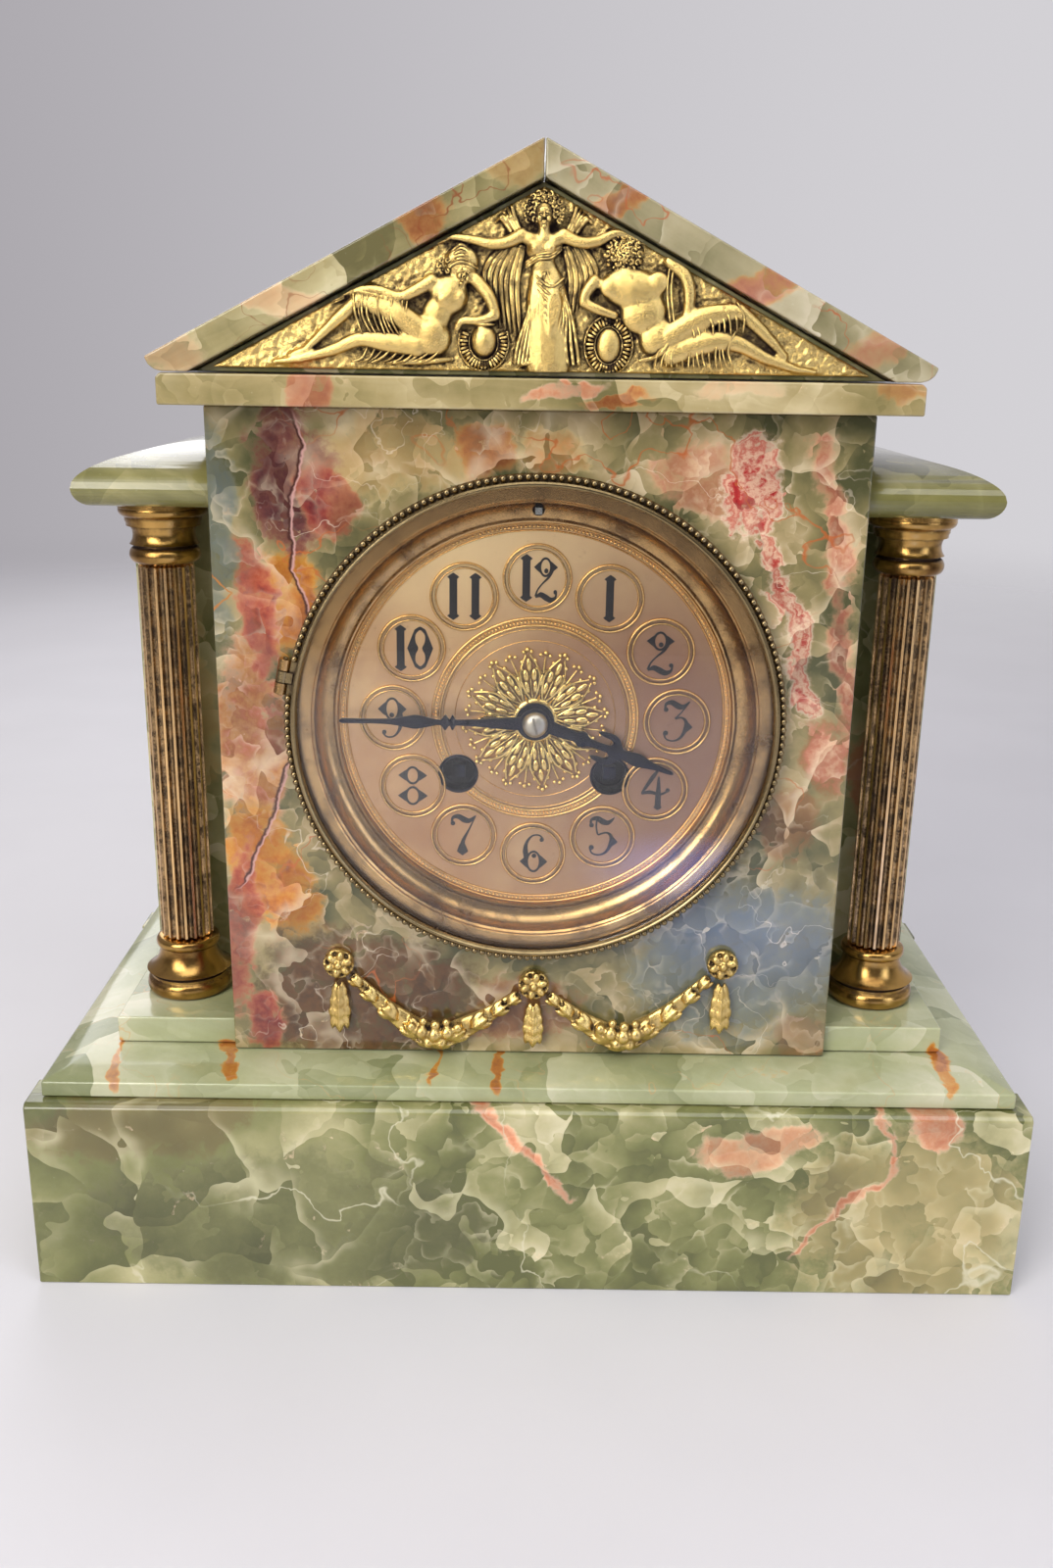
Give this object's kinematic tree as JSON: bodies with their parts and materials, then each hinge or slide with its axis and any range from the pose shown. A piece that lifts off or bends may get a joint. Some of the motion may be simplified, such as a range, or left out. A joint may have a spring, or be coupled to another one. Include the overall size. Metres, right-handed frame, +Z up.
{
  "type": "mantel clock",
  "caption": "Temple-form onyx mantel clock with gilt columns, pediment relief, round glazed dial, rear door and a striking pendulum movement.",
  "frame": {"origin": "middle of the underside of the base, on the surface the clock stands on", "axes": "+X to the right of the dial, +Y from the dial to the back, +Z up"},
  "size_m": [0.27, 0.136, 0.2951],
  "materials": {
    "onyx_green": "polished green and cream onyx marble with white veins",
    "onyx_pale": "polished pale green onyx marble with rust veins",
    "onyx_red": "polished onyx marble, red, orange and cream, strongly mottled",
    "onyx_lime": "polished yellow-green onyx marble",
    "gilt_bronze": "gilt, burnished on the high places and dark in the recesses",
    "dial_gilt": "matt pinkish gilt",
    "brass": "polished, lightly aged",
    "steel": "polished steel",
    "blued_steel": "dark blued steel",
    "dial_glass": "clear convex glass"
  },
  "bodies": {
    "case": {"base_front_panel": "onyx_green", "base_back_panel": "onyx_green", "base_left_panel": "onyx_green", "base_right_panel": "onyx_green", "base_top_plate": "onyx_pale", "plinth_left": "onyx_pale", "plinth_right": "onyx_pale", "body_front_slab": "onyx_red", "body_back_slab": "onyx_green", "side_wall_and_wing_left": "onyx_green", "side_wall_and_wing_right": "onyx_green", "shoulder_cap_left": "onyx_lime", "shoulder_cap_right": "onyx_lime", "cornice_slab": "onyx_pale", "rake_slab_left": "onyx_pale", "rake_slab_right": "onyx_pale", "pediment_core": "onyx_green", "tympanum_relief": "gilt_bronze", "garland_mount": "gilt_bronze", "column_base_left": "gilt_bronze", "column_base_right": "gilt_bronze", "column_shaft_left": "gilt_bronze", "column_shaft_right": "gilt_bronze", "column_capital_left": "gilt_bronze", "column_capital_right": "gilt_bronze", "dial_surround": "gilt_bronze", "dial_plate": "dial_gilt", "dial_rosette": "gilt_bronze", "bezel_hinge_pin": "brass", "rear_ring": "brass", "clamp_strap_left": "brass", "clamp_strap_right": "brass", "front_plate": "brass", "back_plate": "brass", "suspension_cock": "brass", "bell": "steel"},
    "bezel": {"bezel_ring": "brass", "bezel_glass": "dial_glass"},
    "rear_door": {"rear_door": "brass"},
    "minute_hand": {"minute_hand": "blued_steel", "hand_nut": "steel", "cannon_pinion": "steel"},
    "minute_wheel": {"minute_wheel": "brass"},
    "hour_hand": {"hour_hand": "blued_steel", "hour_wheel": "brass"},
    "third_wheel": {"third_wheel": "brass"},
    "centre_wheel": {"centre_wheel": "brass"},
    "intermediate_wheel": {"intermediate_wheel": "brass"},
    "going_barrel": {"going_barrel": "brass"},
    "escape_wheel": {"escape_wheel": "brass"},
    "pendulum": {"pendulum_rod": "steel", "pendulum_bob": "brass"},
    "anchor": {"anchor_and_crutch": "steel"},
    "going_winding": {"going_winding_arbor": "steel"},
    "strike_winding": {"strike_winding_arbor": "steel"},
    "going_click": {"going_click": "steel"},
    "strike_click": {"strike_click": "steel"},
    "strike_barrel": {"strike_barrel": "brass"},
    "regulator": {"regulator_arbor": "steel"},
    "hammer": {"hammer": "brass"}
  },
  "joints": [
    {"name": "bezel_hinge", "type": "hinge", "parent": "case", "child": "bezel", "pos_m": [-0.06396, -0.053, 0.17006], "axis": [-0.1942, 0, -0.981], "range_deg": [0, 110]},
    {"name": "rear_door_hinge", "type": "hinge", "parent": "case", "child": "rear_door", "pos_m": [0.0603, 0.0556, 0.1574], "axis": [0, 0, -1], "range_deg": [0, 110]},
    {"name": "hands_turn", "type": "hinge", "parent": "case", "child": "minute_hand", "pos_m": [0, -0.0484, 0.1574], "axis": [0, 1, 0], "continuous": true},
    {"name": "minute_wheel_turn", "type": "hinge", "parent": "case", "child": "minute_wheel", "pos_m": [0, -0.04, 0.1704], "axis": [0, 1, 0], "continuous": true},
    {"name": "hour_turn", "type": "hinge", "parent": "case", "child": "hour_hand", "pos_m": [0, -0.046, 0.1574], "axis": [0, 1, 0], "continuous": true},
    {"name": "train_turn", "type": "hinge", "parent": "case", "child": "third_wheel", "pos_m": [-0.002, -0.025, 0.16893], "axis": [0, 1, 0], "continuous": true},
    {"name": "centre_wheel_turn", "type": "hinge", "parent": "case", "child": "centre_wheel", "pos_m": [0, -0.033, 0.1574], "axis": [0, 1, 0], "continuous": true},
    {"name": "intermediate_wheel_turn", "type": "hinge", "parent": "case", "child": "intermediate_wheel", "pos_m": [0.01375, -0.009, 0.16557], "axis": [0, 1, 0], "continuous": true},
    {"name": "going_barrel_turn", "type": "hinge", "parent": "case", "child": "going_barrel", "pos_m": [0.02, -0.02, 0.1424], "axis": [0, 1, 0], "continuous": true},
    {"name": "escape_wheel_turn", "type": "hinge", "parent": "case", "child": "escape_wheel", "pos_m": [0, -0.02, 0.1794], "axis": [0, 1, 0], "continuous": true},
    {"name": "pendulum_swing", "type": "hinge", "parent": "case", "child": "pendulum", "pos_m": [0, 0.005, 0.198], "axis": [0, 1, 0], "range_deg": [-3, 3]},
    {"name": "anchor_swing", "type": "hinge", "parent": "case", "child": "anchor", "pos_m": [0, -0.02, 0.198], "axis": [0, 1, 0], "range_deg": [-3, 3]},
    {"name": "going_winding_turn", "type": "hinge", "parent": "case", "child": "going_winding", "pos_m": [0.02, -0.038, 0.1424], "axis": [0, 1, 0], "range_deg": [0, 2520]},
    {"name": "strike_winding_turn", "type": "hinge", "parent": "case", "child": "strike_winding", "pos_m": [-0.02, -0.038, 0.1424], "axis": [0, 1, 0], "range_deg": [0, 2520]},
    {"name": "going_click_lift", "type": "hinge", "parent": "case", "child": "going_click", "pos_m": [0.0294, -0.038, 0.1344], "axis": [0, 1, 0], "range_deg": [0, 12]},
    {"name": "strike_click_lift", "type": "hinge", "parent": "case", "child": "strike_click", "pos_m": [-0.0294, -0.038, 0.1344], "axis": [0, -1, 0], "range_deg": [0, 12]},
    {"name": "strike_barrel_turn", "type": "hinge", "parent": "case", "child": "strike_barrel", "pos_m": [-0.02, -0.02, 0.1424], "axis": [0, 1, 0], "continuous": true},
    {"name": "regulator_turn", "type": "hinge", "parent": "case", "child": "regulator", "pos_m": [0, -0.02, 0.2118], "axis": [0, 1, 0], "range_deg": [-720, 720]},
    {"name": "hammer_lift", "type": "hinge", "parent": "case", "child": "hammer", "pos_m": [-0.04, 0, 0.1394], "axis": [0, 1, 0], "range_deg": [-12, 0]}
  ],
  "couplings": [
    {"joint": "minute_wheel_turn", "follows": "hands_turn", "ratio": -0.33333},
    {"joint": "hour_turn", "follows": "hands_turn", "ratio": 0.083333},
    {"joint": "centre_wheel_turn", "follows": "train_turn", "ratio": -0.083333},
    {"joint": "intermediate_wheel_turn", "follows": "train_turn", "ratio": 0.011905},
    {"joint": "going_barrel_turn", "follows": "train_turn", "ratio": -0.0017007},
    {"joint": "escape_wheel_turn", "follows": "train_turn", "ratio": -12.667},
    {"joint": "anchor_swing", "follows": "pendulum_swing", "ratio": 1}
  ]
}
